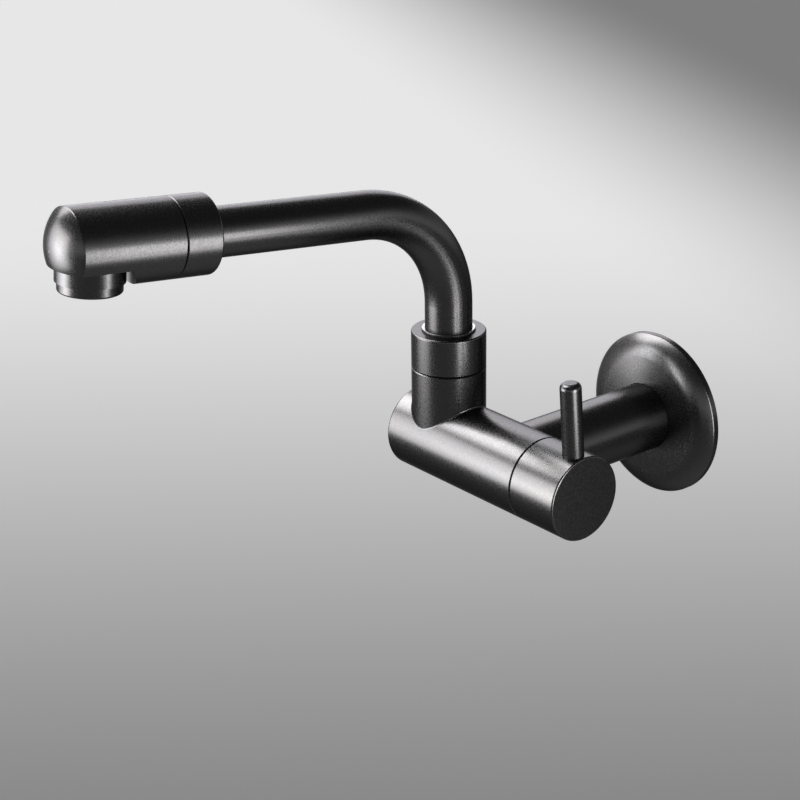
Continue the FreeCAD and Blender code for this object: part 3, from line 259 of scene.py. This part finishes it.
# Cartridge: the quarter-turn valve inside the barrel. Its housing, nut and spindle are turned from
# free-cutting brass, left bare, so they show the lathe's fine rings. Two lapped alumina discs do the sealing,
# a clip of stainless steel wire holds the spindle, and the handle runs on a ring of moulded nylon.
BARE_BRASS = "#d8bd7a"
BRASS_TARNISH = "#b9995a"
BRASS_TARNISH_PATCH = 5 * MM
LATHE_RING = (6 * MM, 6 * MM, 0.25 * MM)
LATHE_RING_DEPTH = 0.01 * MM
BRASS_ROUGHNESS = (0.2, 0.38)


def turned_brass(name, turn):
    """Bare brass with the lathe's rings, drawn twice as wide as life; turn brings Z to the lathe's axis."""
    material, tree = bare_material(name)
    place = add(tree, "ShaderNodeTexCoord", {}).outputs["Object"]
    patches = add(tree, "ShaderNodeTexNoise", {"Scale": 1 / BRASS_TARNISH_PATCH, "Detail": 4},
                  {"Vector": place})
    along = add(tree, "ShaderNodeMapping", {"vector_type": "TEXTURE", "Rotation": turn, "Scale": LATHE_RING},
                {"Vector": place})
    rings = add(tree, "ShaderNodeTexNoise", {"Scale": 1, "Detail": 2}, {"Vector": along})
    colour = add(tree, "ShaderNodeMix",
                 {"data_type": "RGBA", "A": linear(BARE_BRASS), "B": linear(BRASS_TARNISH)},
                 {"Factor": patches})
    rough = add(tree, "ShaderNodeMapRange",
                {"From Min": FINISH_GRAIN_SPAN[0], "From Max": FINISH_GRAIN_SPAN[1],
                 "To Min": BRASS_ROUGHNESS[0], "To Max": BRASS_ROUGHNESS[1]}, {"Value": rings})
    bump = add(tree, "ShaderNodeBump", {"Strength": 1, "Distance": LATHE_RING_DEPTH}, {"Height": rings})
    metal = add(tree, "ShaderNodeBsdfPrincipled", {"Metallic": 1},
                {"Base Color": colour, "Roughness": rough, "Normal": bump})
    add(tree, "ShaderNodeOutputMaterial", {}, {"Surface": metal})
    return material


# Lapped alumina is ivory white with a clean gloss, nylon is a waxy off-white, and drawn steel is plain and
# bright. Their grain is drawn coarser than life, as on the outer pieces.
alumina = even_finish("lapped_alumina", ("#e9e6dd", "#f1efe8"), 3 * MM, (0.12, 0.2), 0.2 * MM, 0.001 * MM)
nylon = even_finish("moulded_nylon", ("#dcd9cf", "#e4e1d8"), 4 * MM, (0.4, 0.5), 0.4 * MM, 0.004 * MM)
stainless = even_finish("drawn_stainless_steel", ("#a9a9a8", "#b4b3b0"), 3 * MM, (0.22, 0.34), 0.15 * MM,
                        0.002 * MM, Metallic=1)
dress(turned_brass("turned_brass_about_x", ABOUT_X), "cartridge_housing", "cartridge_nut",
      "cartridge_spindle")
dress(alumina, "fixed_ceramic_disc", "turning_ceramic_disc")
dress(rubber, "housing_o_ring", "seat_seal", "spindle_o_rings")
dress(stainless, "spindle_clip")
dress(nylon, "handle_guide_ring")


# Handle: a cup turned from brass that covers the cartridge's nut, with a round lever screwed into it and a
# stainless set screw underneath that holds it on the spindle.
gunmetal_about_z = satin_gunmetal("satin_gunmetal_film_on_brass_about_z", ABOUT_Z)
dress(gunmetal_about_x, "handle_knob")
dress(gunmetal_about_z, "lever_pin")
dress(stainless, "handle_grub_screw")


# Collar: a brass nut that holds the spout's foot in the stem, with a bush of black acetal in its lip. The
# bush is turned from bar and stands a little proud, so its smooth edge is a thin bright ring round the tube.
dress(gunmetal_about_z, "collar_nut")
black_acetal = even_finish("turned_black_acetal", ("#1c1c1d", "#222223"), 8 * MM, (0.22, 0.32), 0.5 * MM,
                           0.002 * MM)
dress(black_acetal, "collar_bush")


# Spout: brass tube bent on a mandrel, with a turned brass plug soldered into each end. The plugs turn between
# nylon washers and are sealed with rubber rings. The tube is brushed level, so the marks run round its
# upright foot and along the sides of its run.
run_axis = Vector(joints["nozzle_turn"]["axis"])
run_turn = run_axis.to_track_quat("Z", "Y").to_euler()
dress(satin_gunmetal("satin_gunmetal_film_on_drawn_tube", ABOUT_Z), "spout_tube")
dress(turned_brass("turned_brass_about_z", ABOUT_Z), "spout_nipple")
dress(turned_brass("turned_brass_about_run", run_turn), "nozzle_nipple")
dress(rubber, "spout_o_rings", "nozzle_o_rings")
dress(nylon, "spout_washers", "nozzle_washers")


# Nozzle: a ring nut and a domed head, both turned from brass bar; the head is spot-faced underneath and has a
# boss for the aerator.
gunmetal_about_run = satin_gunmetal("satin_gunmetal_film_on_brass_about_run", run_turn)
dress(gunmetal_about_run, "nozzle_ring", "nozzle_head")


# Aerator: a turned brass ring that screws into the boss, a flat rubber seal, a moulded acetal jet insert and
# a disc of plain-woven stainless wire cloth. The real cloth's wires are 0.4 mm apart; it is drawn twice as
# coarse, so that it shows.
AERATOR_OFFSET = 96.2 * MM  # along the run, from the spout's bend
SCREEN_DROP = 12.45 * MM  # below the run's axis
SCREEN_RADIUS = 7.5 * MM
SCREEN_WIRE_RADIUS = 0.12 * MM
SCREEN_PITCH = 0.85 * MM
SCREEN_WAVE = 0.12 * MM
SCREEN_WIRE_SIDES = 6
SCREEN_BENDS_PER_WAVE = 6

run_up = (Vector((0, 0, 1)) - run_axis * run_axis.z).normalized()
run_across = run_axis.cross(run_up)
nozzle_turn = Matrix((run_across, run_axis, run_up)).transposed().to_4x4()
nozzle_place = Matrix.Translation(joints["nozzle_turn"]["pos_m"]) @ nozzle_turn
screen = bmesh.new()
wires_each_way = int(SCREEN_RADIUS / SCREEN_PITCH)
for number in range(-wires_each_way, wires_each_way + 1):
    half_length = math.sqrt(SCREEN_RADIUS ** 2 - (number * SCREEN_PITCH) ** 2)
    bends = max(int(half_length / SCREEN_PITCH * SCREEN_BENDS_PER_WAVE), 1)
    for way in (1, -1):
        laid = len(screen.verts)
        end = bmesh.ops.create_circle(screen, cap_ends=True, segments=SCREEN_WIRE_SIDES,
                                      radius=SCREEN_WIRE_RADIUS,
                                      matrix=Matrix.Translation((0, 0, -half_length)))["verts"]
        rim = list(dict.fromkeys(edge for vert in end for edge in vert.link_edges))
        drawn = bmesh.ops.spin(screen, geom=end + rim, axis=(0, 0, 1), dvec=(0, 0, 2 * half_length / bends),
                               steps=bends)["geom_last"]
        far_rim = [item for item in drawn if isinstance(item, bmesh.types.BMEdge)]
        bmesh.ops.edgeloop_fill(screen, edges=far_rim)
        screen.verts.ensure_lookup_table()
        for vert in screen.verts[laid:]:
            along, up, across = vert.co.z, vert.co.x, vert.co.y
            up += way * SCREEN_WAVE * math.cos(math.pi * (along / SCREEN_PITCH + number))
            across += number * SCREEN_PITCH
            vert.co = (across, along, up) if way == 1 else (along, across, up)
bmesh.ops.transform(screen, verts=screen.verts,
                    matrix=nozzle_place @ Matrix.Translation((0, AERATOR_OFFSET, -SCREEN_DROP)))
aerator_screen = make_piece("aerator_screen_woven_wire", screen, stainless, "nozzle")
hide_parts("aerator_screen")
dress(gunmetal_about_z, "aerator_housing")
dress(rubber, "aerator_gasket")
grey_acetal = even_finish("moulded_grey_acetal", ("#6a6c6e", "#737576"), 5 * MM, (0.4, 0.5), 0.5 * MM,
                          0.006 * MM)
dress(grey_acetal, "aerator_insert")


# Floor: a plain sweep of pale matt paper, far below the tap. Camera, glossy and transmission rays see a
# painted glow on it that brightens away from the tap, and painted shade that darkens it again far to the
# right. The paper's own colour takes light and shadow.
FLOOR_LEVEL = -1.2
FLOOR_SIDE = 60
PAPER = "#cfcfd0"
PAPER_ROUGHNESS = 0.9
# Painted glow: emission that rises from dim near the tap to pale far from it.
PAINTED_GLOW_START = (-0.63, 0.51, 0)
PAINTED_GLOW_TURN = (0, 0, math.radians(141))
PAINTED_GLOW_LENGTH = (3.3, 1, 1)
PAINTED_GLOW_STRENGTH = (0.08, 0.72)
# Painted shade: it takes away part of the painted glow far to the right.
SHADE_START = (0.53, 1.40, 0)
SHADE_TURN = (0, 0, math.radians(69))
SHADE_LENGTH = (1.14, 1, 1)
SHADE_SHARE = (1, 0.18)
sweep = bmesh.new()
bmesh.ops.create_grid(sweep, x_segments=1, y_segments=1, size=FLOOR_SIDE / 2)
bmesh.ops.translate(sweep, verts=sweep.verts, vec=(0, 0, FLOOR_LEVEL))
sweep_mesh = bpy.data.meshes.new("floor")
sweep.to_mesh(sweep_mesh)
sweep.free()
floor = bpy.data.objects.new("floor", sweep_mesh)
bpy.context.scene.collection.objects.link(floor)
paper, paper_tree = bare_material("matt_paper")
floor_place = add(paper_tree, "ShaderNodeTexCoord", {}).outputs["Object"]
# Each ramp starts at a place on the floor and rises over its length in the direction of its turn.
ramps = []
for start, turn, length, ends in ((PAINTED_GLOW_START, PAINTED_GLOW_TURN, PAINTED_GLOW_LENGTH, PAINTED_GLOW_STRENGTH),
                                  (SHADE_START, SHADE_TURN, SHADE_LENGTH, SHADE_SHARE)):
    along = add(paper_tree, "ShaderNodeMapping",
                {"vector_type": "TEXTURE", "Location": start, "Rotation": turn, "Scale": length},
                {"Vector": floor_place})
    rise = add(paper_tree, "ShaderNodeTexGradient", {"gradient_type": "EASING"}, {"Vector": along})
    ramps.append(add(paper_tree, "ShaderNodeMapRange", {"To Min": ends[0], "To Max": ends[1]},
                     {"Value": rise.outputs["Fac"]}))
rays = add(paper_tree, "ShaderNodeLightPath", {}).outputs
camera_or_gloss = add(paper_tree, "ShaderNodeMath", {"operation": "MAXIMUM"},
                      {0: rays["Is Camera Ray"], 1: rays["Is Glossy Ray"]})
seen = add(paper_tree, "ShaderNodeMath", {"operation": "MAXIMUM"},
           {0: camera_or_gloss, 1: rays["Is Transmission Ray"]})
# The floor's emission is the painted glow times the painted shade, for camera, glossy and transmission rays
# only.
painted_glow = add(paper_tree, "ShaderNodeMath", {"operation": "MULTIPLY"}, {0: ramps[0], 1: ramps[1]})
strength = add(paper_tree, "ShaderNodeMath", {"operation": "MULTIPLY"}, {0: painted_glow, 1: seen})
paper_surface = add(paper_tree, "ShaderNodeBsdfPrincipled",
                    {"Base Color": linear(PAPER), "Roughness": PAPER_ROUGHNESS,
                     "Emission Color": (1, 1, 1, 1)}, {"Emission Strength": strength})
add(paper_tree, "ShaderNodeOutputMaterial", {}, {"Surface": paper_surface})
sweep_mesh.materials.append(paper)


# Light: five soft boxes, with grids that keep their light on the tap and off the floor, and a dim surround
# that is paler near the horizon.
TAP_MIDDLE = (0, -0.08, 0.015)
NOZZLE_END = (-0.05, -0.205, 0.1)
WIDE_GRID = math.radians(110)
NARROW_GRID = math.radians(40)
GLOW_STRENGTH = (0.72, 0.06)
GLOW_FADE = (0.05, 0.50)  # sines of the height above the horizon


def soft_box(name, place, aim, width, height, radiance, spread):
    """A rectangular lamp that faces its aim; radiance is what the tap sees in it, where white paper is 1."""
    half = spread / 2
    # The share of a bare lamp's light that its grid lets through.
    share = math.sin(half) ** 2 - (half - math.sin(half) * math.cos(half)) / math.tan(half)
    data = bpy.data.lights.new(name, "AREA")
    data.shape = "RECTANGLE"
    data.size = width
    data.size_y = height
    data.spread = spread
    data.energy = radiance * math.pi * width * height * share
    lamp = bpy.data.objects.new(name, data)
    lamp.location = place
    lamp.rotation_mode = "QUATERNION"
    lamp.rotation_quaternion = (Vector(aim) - Vector(place)).to_track_quat("-Z", "Y")
    lamp.visible_camera = False
    bpy.context.scene.collection.objects.link(lamp)


soft_box("front_left_box", (-0.30, -0.5, 0.052), TAP_MIDDLE, 0.42, 0.41, 9.2, WIDE_GRID)
soft_box("upper_left_box", (-0.381, -0.179, 0.449), TAP_MIDDLE, 0.357, 0.5, 14, WIDE_GRID)
soft_box("right_strip", (0.223, -0.073, 0.016), TAP_MIDDLE, 0.1, 0.16, 12, WIDE_GRID)
soft_box("rear_left_box", (-1.16, 0.62, 0.52), TAP_MIDDLE, 1.3, 0.9, 8, WIDE_GRID)
soft_box("nozzle_box", (-0.22, -0.45, 0.06), NOZZLE_END, 0.16, 0.2, 6.5, NARROW_GRID)

world = bpy.data.worlds.new("studio")
bpy.context.scene.world = world
world.use_nodes = True
world.node_tree.nodes.clear()
sky = add(world.node_tree, "ShaderNodeTexCoord", {}).outputs["Generated"]
ray_height = add(world.node_tree, "ShaderNodeSeparateXYZ", {}, {"Vector": sky}).outputs["Z"]
fade = add(world.node_tree, "ShaderNodeMapRange",
           {"interpolation_type": "SMOOTHSTEP", "From Min": GLOW_FADE[0], "From Max": GLOW_FADE[1],
            "To Min": GLOW_STRENGTH[0], "To Max": GLOW_STRENGTH[1]}, {"Value": ray_height})
glow = add(world.node_tree, "ShaderNodeBackground", {"Color": (1, 1, 1, 1)}, {"Strength": fade})
add(world.node_tree, "ShaderNodeOutputWorld", {}, {"Surface": glow})


# Camera: to the right of the tap and above it, some 0.7 m away, with a long lens.
CAMERA_PLACE = (0.48006, -0.50500, 0.28869)
CAMERA_AZIMUTH = math.radians(50.96)
CAMERA_ELEVATION = math.radians(22.29)
CAMERA_ROLL = math.radians(-0.80)
CAMERA_LENS = 96.52
CAMERA_SENSOR = 36
CAMERA_NEAR = 0.01
CAMERA_FAR = 50
back = Vector((math.sin(CAMERA_AZIMUTH) * math.cos(CAMERA_ELEVATION),
               -math.cos(CAMERA_AZIMUTH) * math.cos(CAMERA_ELEVATION), math.sin(CAMERA_ELEVATION)))
level = Vector((0, 0, 1)).cross(back).normalized()
right = level * math.cos(CAMERA_ROLL) + back.cross(level) * math.sin(CAMERA_ROLL)
camera_turn = Matrix((right, back.cross(right), back)).transposed().to_4x4()
camera_data = bpy.data.cameras.new("camera")
camera_data.lens = CAMERA_LENS
camera_data.sensor_width = CAMERA_SENSOR
camera_data.clip_start = CAMERA_NEAR
camera_data.clip_end = CAMERA_FAR
camera = bpy.data.objects.new("camera", camera_data)
camera.matrix_world = Matrix.Translation(CAMERA_PLACE) @ camera_turn
bpy.context.scene.collection.objects.link(camera)
bpy.context.scene.camera = camera
bpy.context.scene.view_settings.view_transform = "Standard"
